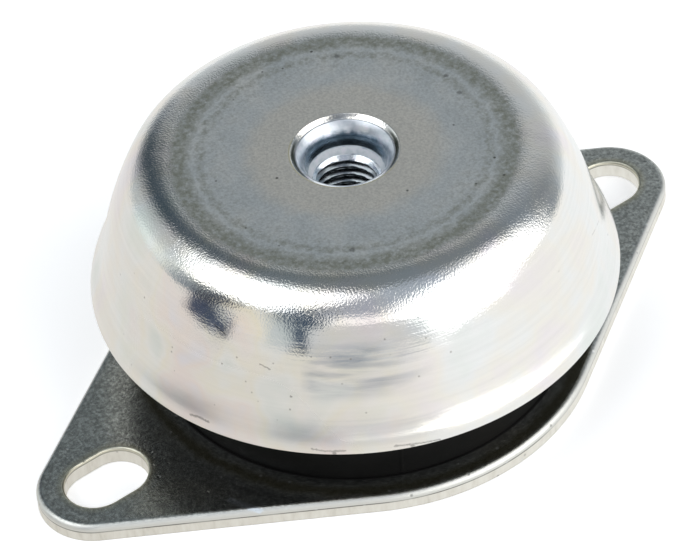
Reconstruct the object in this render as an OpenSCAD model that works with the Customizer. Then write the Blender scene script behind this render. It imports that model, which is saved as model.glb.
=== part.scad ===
// Captive bell-type rubber mount for machinery.
// A drawn steel cap with a threaded insert stands on a bonded rubber ring over a slotted base plate.
// The origin is the centre of the base plate's underside, +Z is up and the two slots lie along X.

/* [Bell cap] */
// Outer diameter of the rim
cap_rim_d = 92; // [84:1:112]
// Height of the cap's flat top above the floor
cap_top_z = 45.6; // [42:0.2:58]
// Height of the rim above the floor
cap_rim_z = 18.8; // [15:0.2:23]
// Thickness of the drawn sheet
cap_t = 2.6; // [2:0.1:3.4]
// Outside radius of the shoulder between the top and the wall
shoulder_r = 8.7; // [6:0.1:11]
// Slope of the wall below the shoulder, in degrees from vertical
wall_slope = 26.4; // [20:0.1:30]
// Slope of the wall at its foot, where the reverse bend begins
foot_slope = 12.4; // [8:0.1:15]
// Radius of the reverse bend that flares the foot of the wall outwards
flare_r = 18; // [8:1:24]
// Slope at the end of the reverse bend, in degrees from vertical
flare_slope = 30; // [22:1:34]
// Radius of the last bend, which turns the flared skirt down to the rim
skirt_r = 8; // [6:0.5:10]
// Slope at the rim, in degrees from vertical
rim_slope = 12; // [6:0.5:14]
// Radius of the two edges of the trimmed rim
rim_edge_r = 0.6; // [0.2:0.1:0.9]
// Radius of the countersink round the insert, at the top face
countersink_r = 9.4; // [8.9:0.1:11]
// Half angle of the countersink, in degrees from the axis
countersink_slope = 50; // [35:1:60]

/* [Base plate] */
// Thickness of the plate
plate_t = 3.4; // [2.8:0.1:4.2]
// Width of the plate across its round waist
waist_d = 83; // [76:1:100]
// Distance between the centres of the two round ears
ear_pitch = 114.2; // [104:0.2:138]
// Radius of each ear
ear_r = 10.4; // [9:0.1:12]
// Distance between the centres of the two slots
slot_pitch = 110; // [104:1:132]
// Width of each slot
slot_w = 11; // [9:0.5:12]
// Length of each slot, end to end
slot_l = 15.2; // [12:0.1:17]
// Radius that blanking leaves along the top edges
edge_roll = 1.1; // [0.4:0.1:1.4]

/* [Raised dish in the base plate] */
// Slope of the dish's wall, in degrees from vertical
dish_slope = 10; // [4:1:20]
// Inside radius of the dish's two bends
dish_bend_r = 2; // [1:0.2:2.6]

/* [Threaded insert] */
// Diameter of the tapped hole at the thread's crests
bore_d = 10.2; // [8.5:0.1:10.6]
// Outer radius of the neck that passes through the cap
neck_r = 8; // [7.4:0.1:8.4]
// Outer radius of the collar that seats under the cap
collar_r = 11.5; // [10.4:0.1:12]
// Height of the collar
collar_h = 3; // [2:0.2:5]
// Outer radius of the body below the collar
body_r = 9.5; // [9:0.1:10]
// Depth of the swaged lip below the cap's top face
lip_drop = 0.6; // [0.3:0.1:0.8]
// Width of the lip's edge
lip_edge = 0.25; // [0.15:0.05:0.4]
// Depth of the trumpet mouth from the lip down to the thread's chamfer
mouth_h = 5.7; // [4:0.1:7]
// Radius of the trumpet mouth at its lower end
mouth_r = 5.95; // [5.6:0.05:6.4]
// Outer radius of the spigot that the washer is riveted on
spigot_r = 7.6; // [7:0.1:8]

/* [Rebound washer] */
// Outer radius of the washer
washer_r = 16; // [14.5:0.1:19.4]
// Thickness of the washer
washer_t = 3; // [2:0.1:3.6]
// Depth of the countersink that takes the riveted end
rivet_h = 1.2; // [0.8:0.1:1.4]
// Radius of the washer's outer edges
washer_edge_r = 0.7; // [0.3:0.1:0.9]

/* [Rubber] */
// Outer diameter of the rubber where it stands on the plate
foot_d = 72.8; // [68:0.2:84]
// Clearance between the rubber's hollow and the foot of the dish
hollow_gap = 1.8; // [1:0.1:2.6]
// Height of the straight part of the hollow
hollow_h = 18.6; // [14:0.2:22]
// Clearance between the rubber's upper edge and the insert's collar
upper_gap = 4.5; // [3:0.5:8]

/* [Travel] */
// Distance that the cap can sink under load
compression = 5; // [3:0.5:7]
// Distance that the cap can rise before the washer meets the dish
rebound = 2.5; // [1:0.5:4]

/* [Fits] */
// Clearance between the rubber and the metal that moves with the cap
bond_gap = 0.3; // [0.2:0.05:0.5]
// Clearance between swaged and riveted metal parts
metal_gap = 0.05; // [0.02:0.01:0.1]
// Clearance left between the washer and the dish at full rebound
stop_gap = 0.3; // [0.2:0.1:0.6]
// Clearance left between the washer and the floor at full compression
floor_gap = 0.8; // [0.5:0.1:1.5]
// Radial clearance of the insert in the dish's hole
hole_gap = 0.5; // [0.4:0.1:1.5]

/* [Hidden] */
$fn = 96;

// Heights, from the floor up
washer_z = compression + floor_gap;
washer_top_z = washer_z + washer_t;
dish_in_z = washer_top_z + rebound + stop_gap;
dish_top_z = dish_in_z + plate_t;
cap_in_z = cap_top_z - cap_t;
lip_z = cap_top_z - lip_drop;
chamfer_top_z = lip_z - mouth_h;

// Cap profile, from the rim up: skirt bend, reverse bend, slightly curved wall and shoulder, each
// tangent to the next. The wall's radius follows from the height that is left for it.
skirt_c = [
    cap_rim_d / 2 - skirt_r * cos(rim_slope),
    cap_rim_z + rim_edge_r - skirt_r * sin(rim_slope)
];
flare_c = skirt_c + (skirt_r + flare_r) * [cos(flare_slope), sin(flare_slope)];
shoulder_cz = cap_top_z - shoulder_r;
wall_rise = shoulder_cz + shoulder_r * sin(wall_slope) - flare_c.y + flare_r * sin(foot_slope);
wall_r = wall_rise / (sin(wall_slope) - sin(foot_slope));
wall_c = flare_c - (flare_r + wall_r) * [cos(foot_slope), sin(foot_slope)];
shoulder_c = wall_c + (wall_r - shoulder_r) * [cos(wall_slope), sin(wall_slope)];

// Cap hole and countersink
cap_hole_r = neck_r + metal_gap;
countersink_h = (countersink_r - cap_hole_r) / tan(countersink_slope);
lip_r = countersink_r - lip_drop * tan(countersink_slope) - metal_gap / cos(countersink_slope);

// Dish profile: a top bend round dish_top_c and a foot bend round dish_foot_c, one sheet thick
dish_hole_r = collar_r + hole_gap;
dish_top_c = [washer_r, dish_in_z - dish_bend_r];
dish_n = [cos(dish_slope), sin(dish_slope)];
dish_foot_cz = plate_t + dish_bend_r;
dish_foot_r = (dish_n * dish_top_c + 2 * dish_bend_r + plate_t - dish_n.y * dish_foot_cz) / dish_n.x;
dish_foot_c = [dish_foot_r, dish_foot_cz];
dish_edge_r = 0.8;

// Plate outline: straight flanks tangent to the waist and to the ears
ear_x = ear_pitch / 2;
waist_r = waist_d / 2;
flank_a = acos((waist_r - ear_r) / ear_x);
flank_n = [cos(flank_a), sin(flank_a)];
flank_l = sqrt(ear_x * ear_x - (waist_r - ear_r) * (waist_r - ear_r));
flank_relief = 0.01;
bar_w = 4 * edge_roll;

// Insert
bore_r = bore_d / 2;
thread_chamfer = mouth_r - bore_r;
insert_z = washer_z + metal_gap;
body_edge = 0.8;

// Washer
washer_hole_r = spigot_r + metal_gap;

// Rubber
foot_r = foot_d / 2;
hollow_r = dish_foot_r + hollow_gap;
upper_r = collar_r + upper_gap;
rubber_edge_z = cap_rim_z + rim_edge_r;
rubber_edge_r = skirt_x(cap_t + bond_gap, rubber_edge_z);

// Points along an arc round c, both ends included
function arc(c, r, from, to, steps = 8) = [
    for (i = [0:steps])
        let (a = from + (to - from) * i / steps)
            [c.x + r * cos(a), c.y + r * sin(a)]
];

// Arc that leaves the point p straight up and bends outwards to the point q
function flare(p, q, steps = 12) =
    let (d = q - p)
        let (r = (d * d) / (2 * d.x))
            arc([p.x + r, p.y], r, 180, atan2(d.y, d.x - r), steps);

// Angle and radius at which a surface that lies inset inside the cap's outer face passes the height z
function skirt_a(inset, z) = asin((z - skirt_c.y) / (skirt_r - inset));
function skirt_x(inset, z) = skirt_c.x + (skirt_r - inset) * cos(skirt_a(inset, z));

// The cap's face inset by a distance, from the flat top down to the height z on the skirt bend
function cap_face(inset, z) = concat(
    arc(shoulder_c, shoulder_r - inset, 90, wall_slope, 12),
    arc(wall_c, wall_r - inset, wall_slope - 2, foot_slope, 5),
    arc(flare_c, flare_r + inset, 180 + foot_slope + 4.4, 180 + flare_slope, 4),
    arc(skirt_c, skirt_r - inset, flare_slope - 4, skirt_a(inset, z), 4)
);

function reversed(points) = [for (i = [len(points) - 1:-1:0]) points[i]];

// Half section of the plate at its edge, with the top corner rolled, out to the radius r
module edge_section(r, width) {
    translate([r - width, 0])
        square([width, plate_t - edge_roll]);
    translate([r - width, 0])
        square([width - edge_roll, plate_t]);
    translate([r - edge_roll, plate_t - edge_roll])
        circle(edge_roll);
}

module rolled_disc(r) {
    rotate_extrude()
        edge_section(r, r);
}

// Straight edge from an ear's tangent point to the waist's, set back a hair inside both arcs
module flank_bar() {
    rotate([0, 0, flank_a])
        translate([0, -flank_l, 0])
            rotate([-90, 0, 0])
                linear_extrude(flank_l)
                    mirror([0, 1, 0])
                        edge_section(waist_r - flank_relief, bar_w);
}

// Flat middle of the plate, inside the rolled edges
module plate_core() {
    waist_p = (waist_r - bar_w / 2) * flank_n;
    ear_p = [ear_x, 0] + (ear_r - bar_w / 2) * flank_n;
    quarter = [waist_p, ear_p];
    linear_extrude(plate_t)
        polygon(concat(
            [for (p = quarter) [p.x, p.y]],
            [for (p = reversed(quarter)) [p.x, -p.y]],
            [for (p = quarter) [-p.x, -p.y]],
            [for (p = reversed(quarter)) [-p.x, p.y]]
        ));
}

module flat_plate() {
    plate_core();
    rolled_disc(waist_r);
    for (side = [-1, 1])
        translate([side * ear_x, 0, 0])
            rolled_disc(ear_r);
    for (flip_x = [0, 1])
        for (flip_y = [0, 1])
            mirror([flip_x, 0, 0])
                mirror([0, flip_y, 0])
                    flank_bar();
}

module slot() {
    half = (slot_l - slot_w) / 2;
    translate([0, 0, -1])
        linear_extrude(plate_t + 2) {
            square([2 * half, slot_w], center = true);
            for (side = [-1, 1])
                translate([side * half, 0])
                    circle(slot_w / 2);
        }
}

module dish_outside() {
    below = plate_t / 2;
    rotate_extrude()
        polygon(concat(
            [[0, below], [0, dish_top_z]],
            arc(dish_top_c, dish_bend_r + plate_t, 90, dish_slope),
            arc(dish_foot_c, dish_bend_r, 180 + dish_slope, 270),
            [[dish_foot_r, below]]
        ));
}

module dish_inside() {
    rotate_extrude()
        polygon(concat(
            [[0, -1], [0, dish_in_z]],
            arc(dish_top_c, dish_bend_r, 90, dish_slope),
            arc(dish_foot_c, dish_bend_r + plate_t, 180 + dish_slope, 270),
            [[dish_foot_r, -1]]
        ));
}

// Hole in the dish, with its upper edge rounded by the punch
module dish_hole() {
    edge_c = [dish_hole_r + dish_edge_r, dish_top_z - dish_edge_r];
    rotate_extrude()
        polygon(concat(
            [[0, dish_in_z - 1], [dish_hole_r, dish_in_z - 1]],
            arc(edge_c, dish_edge_r, 180, 90, 4),
            [[edge_c.x, dish_top_z + 1], [0, dish_top_z + 1]]
        ));
}

module base_plate() {
    color("#7d8283")
        difference() {
            union() {
                flat_plate();
                dish_outside();
            }
            dish_inside();
            dish_hole();
            for (side = [-1, 1])
                translate([side * slot_pitch / 2, 0, 0])
                    slot();
        }
}

module bell_cap() {
    inner_edge_c = [skirt_x(cap_t, cap_rim_z + rim_edge_r) + rim_edge_r, cap_rim_z + rim_edge_r];
    outer_edge_c = [cap_rim_d / 2 - rim_edge_r, cap_rim_z + rim_edge_r];
    color("#c9cccb")
        rotate_extrude()
            polygon(concat(
                [[cap_hole_r, cap_in_z], [cap_hole_r, cap_top_z - countersink_h]],
                [[countersink_r, cap_top_z]],
                cap_face(0, cap_rim_z + rim_edge_r),
                arc(outer_edge_c, rim_edge_r, -22.5, -90, 3),
                arc(inner_edge_c, rim_edge_r, 270, 202.5, 3),
                reversed(cap_face(cap_t, cap_rim_z + rim_edge_r))
            ));
}

// Turned bush: trumpet mouth, tapped bore, seating collar and a spigot riveted over the washer
module threaded_insert() {
    rivet_top_z = washer_z + rivet_h;
    color("#b9c0c4")
        rotate_extrude()
            polygon(concat(
                flare([mouth_r, chamfer_top_z], [lip_r - lip_edge, lip_z]),
                [
                    [lip_r, lip_z],
                    [neck_r, cap_top_z - countersink_h - metal_gap],
                    [neck_r, cap_in_z],
                    [collar_r, cap_in_z],
                    [collar_r, cap_in_z - collar_h],
                    [body_r, cap_in_z - collar_h - (collar_r - body_r)],
                    [body_r, washer_top_z + body_edge],
                    [body_r - body_edge, washer_top_z],
                    [spigot_r, washer_top_z],
                    [spigot_r, rivet_top_z],
                    [spigot_r + rivet_h - metal_gap, insert_z],
                    [mouth_r, insert_z],
                    [bore_r, insert_z + thread_chamfer],
                    [bore_r, chamfer_top_z - thread_chamfer]
                ]
            ));
}

module rebound_washer() {
    color("#a9adab")
        rotate_extrude()
            polygon(concat(
                [
                    [washer_hole_r, washer_top_z],
                    [washer_hole_r, washer_z + rivet_h],
                    [washer_hole_r + rivet_h, washer_z]
                ],
                arc([washer_r - washer_edge_r, washer_z + washer_edge_r], washer_edge_r, -90, 0, 4),
                arc([washer_r - washer_edge_r, washer_top_z - washer_edge_r], washer_edge_r, 0, 90, 4)
            ));
}

// Moulded ring: hollow inside, waisted outside, and bonded to the plate and to the cap's inner face
module rubber_element() {
    color("#161616")
        rotate_extrude()
            polygon(concat(
                [[hollow_r, plate_t]],
                flare([foot_r, plate_t], [rubber_edge_r, rubber_edge_z]),
                reversed(cap_face(cap_t + bond_gap, rubber_edge_z)),
                [
                    [upper_r, cap_in_z - bond_gap],
                    [hollow_r, plate_t + hollow_h]
                ]
            ));
}

base_plate();
bell_cap();
threaded_insert();
rubber_element();
rebound_washer();
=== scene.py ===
import bmesh
import bpy
import numpy as np
from mathutils import Matrix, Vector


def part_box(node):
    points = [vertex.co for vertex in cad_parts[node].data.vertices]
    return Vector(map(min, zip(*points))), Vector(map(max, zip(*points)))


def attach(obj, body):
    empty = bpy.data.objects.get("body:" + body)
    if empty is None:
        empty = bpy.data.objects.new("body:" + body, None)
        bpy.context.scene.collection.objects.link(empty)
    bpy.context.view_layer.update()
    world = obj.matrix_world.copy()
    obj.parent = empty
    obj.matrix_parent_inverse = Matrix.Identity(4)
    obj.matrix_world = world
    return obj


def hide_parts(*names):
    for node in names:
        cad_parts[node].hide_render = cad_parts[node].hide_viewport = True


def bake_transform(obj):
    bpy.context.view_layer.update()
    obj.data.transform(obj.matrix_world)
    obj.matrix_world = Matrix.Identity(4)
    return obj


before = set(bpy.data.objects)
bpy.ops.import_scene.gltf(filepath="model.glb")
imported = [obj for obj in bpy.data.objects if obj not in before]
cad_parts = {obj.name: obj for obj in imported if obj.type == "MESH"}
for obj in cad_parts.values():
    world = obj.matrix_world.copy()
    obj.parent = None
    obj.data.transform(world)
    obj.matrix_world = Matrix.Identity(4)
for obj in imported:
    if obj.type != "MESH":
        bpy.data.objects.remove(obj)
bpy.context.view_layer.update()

print("nodes:", sorted(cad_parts))

# %% [markdown]
# ## Units and sizes
# Profiles are easiest to think about in millimetres, as on a drawing, and Blender works in metres.
# So every shape below is worked out in millimetres, and it is scaled once, when its mesh is made.
# The outer sizes come from the frame, so that the surfaces stay on the construction model.
# %% Sizes from the frame
MM = 0.001


def box_mm(node):
    """Lowest and highest corner of a node of the frame, in millimetres."""
    return [np.array(corner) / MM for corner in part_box(node)]


cap_low, cap_high = box_mm("bell_cap")
plate_high = box_mm("base_plate")[1]
washer_low, washer_high = box_mm("rebound_washer")
insert_low = box_mm("threaded_insert")[0]
RIM_R = cap_high[0]
RIM_Z = cap_low[2]
TOP_Z = cap_high[2]
PLATE_T = 3.4
print("rim radius %.1f, rim height %.1f, top %.1f mm" % (RIM_R, RIM_Z, TOP_Z))

# %% [markdown]
# ## Small helpers
# A profile is a list of (radius, height) points. Straight runs and arcs are joined end to end,
# as a draughtsman would draw the half section of a turned part. A surface is a grid of points:
# rows along the profile and columns round the part. Grids that share an edge are welded.
# %% Helpers for profiles
def arc(centre, radius, start, end, steps):
    """Points on a circle: centre + radius * (cos a, sin a), where a goes from start to end in degrees."""
    a = np.radians(np.linspace(start, end, steps + 1))
    return np.column_stack([centre[0] + radius * np.cos(a), centre[1] + radius * np.sin(a)])


def line(start, end, steps=1):
    """Evenly spaced points on the straight line from start to end."""
    share = np.linspace(0, 1, steps + 1)[:, None]
    return np.asarray(start, float) + share * (np.asarray(end, float) - np.asarray(start, float))


def chain(*parts):
    """Joins runs of points end to end and drops a point that repeats the one before it."""
    points = np.vstack(parts)
    step = np.linalg.norm(np.diff(points, axis=0), axis=1)
    return points[np.r_[True, step > 1e-5]]


def revolve(profile, angles):
    """Turns a profile round Z: the point (r, z) at the angle a lies at (r cos a, r sin a, z)."""
    r = profile[:, 0, None]
    z = profile[:, 1, None] + 0 * angles
    return np.stack([r * np.cos(angles), r * np.sin(angles), z], axis=-1)


def full_turn(count):
    """Equal angles once round, in radians, without the last one, which is the first again."""
    return np.linspace(0, 2 * np.pi, count, endpoint=False)


# %% Helper that makes a mesh from grids
def grid_quads(rows, cols, close_rows, close_cols):
    """Quads between neighbours on a grid of vertices; a closed direction wraps to its first line."""
    i, j = np.meshgrid(
        np.arange(rows if close_rows else rows - 1),
        np.arange(cols if close_cols else cols - 1),
        indexing="ij",
    )
    below, beside = (i + 1) % rows, (j + 1) % cols
    corners = [i * cols + j, i * cols + beside, below * cols + beside, below * cols + j]
    return np.stack(corners, axis=-1).reshape(-1, 4)


def piece_from_grids(name, grids, crease=38):
    """Makes one closed piece from grids of points in mm and welds their shared edges.

    Each grid is (points, close_rows, close_cols) or has a dict of per-vertex values after them.
    Faces are turned outwards, and edges sharper than the crease angle stay sharp.
    """
    points, quads, values, first = [], [], {}, 0
    for grid, close_rows, close_cols, *extra in grids:
        rows, cols = grid.shape[:2]
        points.append(grid.reshape(-1, 3))
        quads.append(first + grid_quads(rows, cols, close_rows, close_cols))
        for key, value in (extra[0] if extra else {}).items():
            column = np.broadcast_to(value, (rows, cols)).reshape(-1)
            values.setdefault(key, []).append((first, column))
        first += rows * cols
    mesh = bpy.data.meshes.new(name)
    mesh.from_pydata((np.vstack(points) * MM).tolist(), [], np.vstack(quads).tolist())
    for key, runs in values.items():
        whole = np.zeros(first, np.float32)
        for start, column in runs:
            whole[start : start + len(column)] = column
        mesh.attributes.new(key, "FLOAT", "POINT").data.foreach_set("value", whole)
    work = bmesh.new()
    work.from_mesh(mesh)
    bmesh.ops.remove_doubles(work, verts=work.verts, dist=2e-3 * MM)
    bmesh.ops.recalc_face_normals(work, faces=work.faces)
    open_edges = sum(1 for edge in work.edges if not edge.is_manifold)
    work.to_mesh(mesh)
    work.free()
    mesh.shade_smooth()
    mesh.set_sharp_from_angle(angle=np.radians(crease))
    piece = bpy.data.objects.new(name, mesh)
    bpy.context.scene.collection.objects.link(piece)
    print("%s: %d faces, %d open edges" % (name, len(mesh.polygons), open_edges))
    return piece


# %% [markdown]
# ## Colours and nodes
# Colours are written as the hex values of a paint chart. Those are sRGB values, and the shaders
# work on linear light, so one function turns one into the other. One more function adds a node:
# it sets the node's properties, and plugs a value or another node into each input.
# %% Helpers for colours and nodes
def linear(colour, alpha=1.0):
    """An sRGB hex colour as linear RGBA: c / 12.92 below 0.04045, else ((c + 0.055) / 1.055) ** 2.4."""
    c = np.array([int(colour[k : k + 2], 16) for k in (1, 3, 5)]) / 255
    rgb = np.where(c <= 0.04045, c / 12.92, ((c + 0.055) / 1.055) ** 2.4)
    return (*rgb.tolist(), alpha)


def add(tree, kind, links=(), stops=(), **settings):
    """Adds a node, sets its properties, and gives each named or numbered input a value or a source.

    The kind is the name of a shader node without the words ShaderNode in front of it. A colour
    may be written as a hex value. The stops of a colour ramp are pairs of a position and a colour,
    in rising order.
    """
    made = tree.nodes.new("ShaderNode" + kind)
    for key, value in settings.items():
        setattr(made, key, value)
    for index, (where, colour) in enumerate(stops):
        marks = made.color_ramp.elements
        mark = marks[index] if index < 2 else marks.new(where)
        mark.position = where
        mark.color = linear(colour) if isinstance(colour, str) else colour
    for key, value in dict(links).items():
        if isinstance(key, str):
            socket = next(s for s in made.inputs if s.enabled and s.name == key)
        else:
            socket = made.inputs[key]
        if isinstance(value, bpy.types.Node):
            value = next(s for s in value.outputs if s.enabled)
        if isinstance(value, str):
            value = linear(value)
        if isinstance(value, bpy.types.NodeSocket):
            tree.links.new(value, socket)
        else:
            socket.default_value = value
    return made


def new_material(name):
    """An empty node material and its tree."""
    material = bpy.data.materials.new(name)
    material.use_nodes = True
    material.node_tree.nodes.clear()
    return material, material.node_tree


def put_on(piece, material, surface):
    """Ends a material with its surface shader and puts it on a piece."""
    add(material.node_tree, "OutputMaterial", {"Surface": surface})
    piece.data.materials.append(material)
    print("%s: %d nodes" % (material.name, len(material.node_tree.nodes)))


# %% [markdown]
# ## The camera
# The picture looks down on the mount from the front left, with a long lens from about 0.7 m.
# The camera stands on a line from a target point, at an azimuth and an elevation, and leans
# a little to one side. Its axes are worked out as vectors and written into its matrix.
# %% Camera
VIEW_AZIMUTH = -34.06
VIEW_ELEVATION = 43.50
VIEW_ROLL = -5.15
VIEW_DISTANCE = 710.2
VIEW_TARGET = np.array([-0.02, 1.90, 13.75])
IMAGE_WIDTH_PX = 700
FOCAL_PX = 4063.5
SENSOR_WIDTH = 36.0

azimuth, elevation, roll = np.radians([VIEW_AZIMUTH, VIEW_ELEVATION, VIEW_ROLL])
back = np.array(
    [np.sin(azimuth) * np.cos(elevation), -np.cos(azimuth) * np.cos(elevation), np.sin(elevation)]
)
level_right = np.cross(-back, [0, 0, 1])
level_right /= np.linalg.norm(level_right)
level_up = np.cross(level_right, -back)
view_right = np.cos(roll) * level_right + np.sin(roll) * level_up
view_up = np.cos(roll) * level_up - np.sin(roll) * level_right
view_from = (VIEW_TARGET + VIEW_DISTANCE * back) * MM

camera = bpy.data.objects.new("camera", bpy.data.cameras.new("camera"))
bpy.context.scene.collection.objects.link(camera)
pose = np.eye(4)
pose[:3, 0], pose[:3, 1], pose[:3, 2], pose[:3, 3] = view_right, view_up, back, view_from
camera.matrix_world = Matrix(pose.tolist())
camera.data.sensor_fit = "HORIZONTAL"
camera.data.sensor_width = SENSOR_WIDTH
camera.data.lens = FOCAL_PX / IMAGE_WIDTH_PX * SENSOR_WIDTH
camera.data.clip_start, camera.data.clip_end = 0.05, 20
bpy.context.scene.camera = camera
bpy.context.scene.view_settings.view_transform = "Standard"
print("camera at", np.round(view_from, 4), "lens %.1f mm" % camera.data.lens)

# %% [markdown]
# ## The light tent
# Zinc plating is nearly a mirror, so what it shows is the room. A product like this is lit in
# a tent: two softboxes, one overhead and one in front, pale panels behind, and dark gaps between
# them. The world holds that tent. Each panel is a soft rectangle on a map of the sky, with the
# zenith in the middle and the angle from the zenith, in degrees, as the distance from it.
# Rays from the camera see plain white instead, which is the backdrop.
# %% Light tent
# The sky without its panels: light by the angle from the zenith in degrees
SKY = ((0, 0.139), (30, 0.063), (48, 0.503), (62, 0.521), (78, 0.595), (95, 0.70))

# name, centre on the map, half size, turn in degrees, soft edge, light (red, green, blue)
PANELS = (
    ("far wall", (118, 46), (42, 66), 18, 17, (0.79, 0.85, 0.87)),
    ("rear panel", (-54, 60), (42, 19), 49, 10, (0.23, 0.27, 0.31)),
    ("rear left card", (-47, 66), (24, 15), 49, 15, (0.88, 0.94, 0.94)),
    ("side card", (-82, -8), (18, 13), 27, 3, (0.83, 0.80, 0.72)),
    ("side gap", (-78, 19), (18, 9), -36, 5, (0.05, 0.06, 0.09)),
    ("front gap", (-57, -33), (24, 10), 37, 5, (0.06, 0.09, 0.14)),
    ("overhead softbox", (-31, 9), (27, 25), -3, 3, (2.0, 2.05, 2.1)),
    ("front softbox", (36, -63), (45, 43), -35, 5, (2.1, 2.1, 2.1)),
    ("front fill", (-33, -54), (19, 22), -41, 3, (1.15, 1.15, 1.15)),
    ("camera gap", (-7, -26), (14, 35), -53, 6, (0.40, 0.44, 0.51)),
    ("centre gap", (12, 25), (14, 28), -3, 10, (0.16, 0.18, 0.18)),
    ("rear gap", (4, 56), (14, 29), -4, 11, (0.05, 0.07, 0.09)),
    ("cross gap", (35, 5), (46, 15), -22, 18, (0.19, 0.22, 0.25)),
    ("far gap", (77, -19), (9, 10), 1, 5, (0.22, 0.26, 0.30)),
    ("horizon gap", (-46, -67), (34, 5), -35, 2, (0.68, 0.69, 0.71)),
)

# %% World nodes of the tent
world = bpy.data.worlds.new("light tent")
bpy.context.scene.world = world
world.use_nodes = True
tent = world.node_tree
tent.nodes.clear()
direction = add(tent, "TexCoord").outputs["Generated"]
parts = add(tent, "SeparateXYZ", {0: direction})
from_zenith = add(tent, "Math", {0: parts.outputs["Z"]}, operation="ARCCOSINE")
zenith_degrees = add(tent, "Math", {0: from_zenith}, operation="DEGREES")
level = add(tent, "VectorMath", {0: direction, 1: (1, 1, 0)}, operation="MULTIPLY")
heading = add(tent, "VectorMath", {0: level}, operation="NORMALIZE")
sky_map = add(tent, "VectorMath", {0: heading, "Scale": zenith_degrees}, operation="SCALE")

share = add(tent, "MapRange", {"Value": zenith_degrees, "From Max": SKY[-1][0]}, clamp=True)
stops = [(angle / SKY[-1][0], (level * 0.96, level, level * 1.03, 1)) for angle, level in SKY]
sky = add(tent, "ValToRGB", {"Fac": share}, stops=stops)
for name, centre, half, turn, soft, light in PANELS:
    offset = add(tent, "VectorMath", {0: sky_map, 1: (*centre, 0)}, operation="SUBTRACT")
    turned = add(tent, "VectorRotate", {"Vector": offset, "Angle": -np.radians(turn)})
    turned.rotation_type = "Z_AXIS"
    apart = add(tent, "VectorMath", {0: turned}, operation="ABSOLUTE")
    sides = add(tent, "SeparateXYZ", {0: apart})
    covers = []
    for output, reach in (("X", half[0]), ("Y", half[1])):
        limits = {"From Min": reach + soft, "From Max": reach - soft}
        covers.append(
            add(
                tent,
                "MapRange",
                {"Value": sides.outputs[output], **limits},
                interpolation_type="SMOOTHSTEP",
                label=name,
            )
        )
    cover = add(tent, "Math", {0: covers[0], 1: covers[1]}, operation="MULTIPLY")
    sky = add(tent, "Mix", {"Factor": cover, "A": sky, "B": (*light, 1)}, data_type="RGBA")
rays = add(tent, "LightPath")
backdrop = add(
    tent, "Mix", {"Factor": rays.outputs["Is Camera Ray"], "A": sky, "B": (1, 1, 1, 1)}, data_type="RGBA"
)
shine = add(tent, "Background", {"Color": backdrop})
add(tent, "OutputWorld", {"Surface": shine})
print("light tent:", len(PANELS), "panels")

# %% [markdown]
# ## The floor
# The floor is a pale table top. It is a plain disc that takes the object's soft shadow. Where
# the camera looks at it, a little light is added, so that the open floor is as white as the
# backdrop and only the shadow is darker. Metal sees the floor as a bright sheet: it is a little
# dimmer towards the camera's left, where the table is lit less.
# %% Floor
FLOOR_R = 3000.0
FLOOR_SEGMENTS = 96
CAMERA_LIFT = 0.42

rim = full_turn(FLOOR_SEGMENTS)
floor_rows = revolve(np.array([[0.0, 0.0], [FLOOR_R, 0.0]]), rim)
floor_mesh = bpy.data.meshes.new("floor")
floor_mesh.from_pydata((floor_rows[1] * MM).tolist(), [], [list(range(FLOOR_SEGMENTS))])
floor = bpy.data.objects.new("floor", floor_mesh)
bpy.context.scene.collection.objects.link(floor)

# %% Floor paint
floor_paint, tree = new_material("matt white table")
place = add(tree, "TexCoord").outputs["Object"]
along = add(tree, "VectorMath", {0: place, 1: (0.96, -0.28, 0)}, operation="DOT_PRODUCT")
side = add(
    tree,
    "MapRange",
    {"Value": along.outputs["Value"], "From Min": -0.08, "From Max": 0.06},
    interpolation_type="SMOOTHSTEP",
)
seen_in_metal = add(
    tree, "Mix", {"Factor": side, "A": (0.80, 0.79, 0.77, 1), "B": (0.98, 0.99, 0.99, 1)}, data_type="RGBA"
)
# A doorway left of the camera leaves a dark stretch on the far floor, and only metal shows it
heading = add(tree, "VectorMath", {0: place}, operation="NORMALIZE")
toward = add(tree, "VectorMath", {0: heading, 1: (-0.982, 0.191, 0)}, operation="DOT_PRODUCT")
doorway = add(
    tree,
    "MapRange",
    {"Value": toward.outputs["Value"], "From Min": 0.972, "From Max": 0.993},
    interpolation_type="SMOOTHSTEP",
)
away = add(tree, "VectorMath", {0: place}, operation="LENGTH")
far_off = add(
    tree,
    "MapRange",
    {"Value": away.outputs["Value"], "From Min": 0.30, "From Max": 0.42},
    interpolation_type="SMOOTHSTEP",
)
unlit = add(tree, "Math", {0: doorway, 1: far_off}, operation="MULTIPLY")
seen_in_metal = add(
    tree, "Mix", {"Factor": unlit, "A": seen_in_metal, "B": (0.07, 0.09, 0.14, 1)}, data_type="RGBA"
)
rays = add(tree, "LightPath")
paint = add(tree, "BsdfDiffuse", {"Color": (0.9, 0.9, 0.9, 1)})
lift = add(tree, "Math", {0: rays.outputs["Is Camera Ray"], 1: CAMERA_LIFT}, operation="MULTIPLY")
lifted = add(tree, "Emission", {"Strength": lift})
matt = add(tree, "AddShader", {0: paint, 1: lifted})
mirrored = add(tree, "Emission", {"Color": seen_in_metal})
shader = add(tree, "MixShader", {0: rays.outputs["Is Glossy Ray"], 1: matt, 2: mirrored})
put_on(floor, floor_paint, shader)

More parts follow.
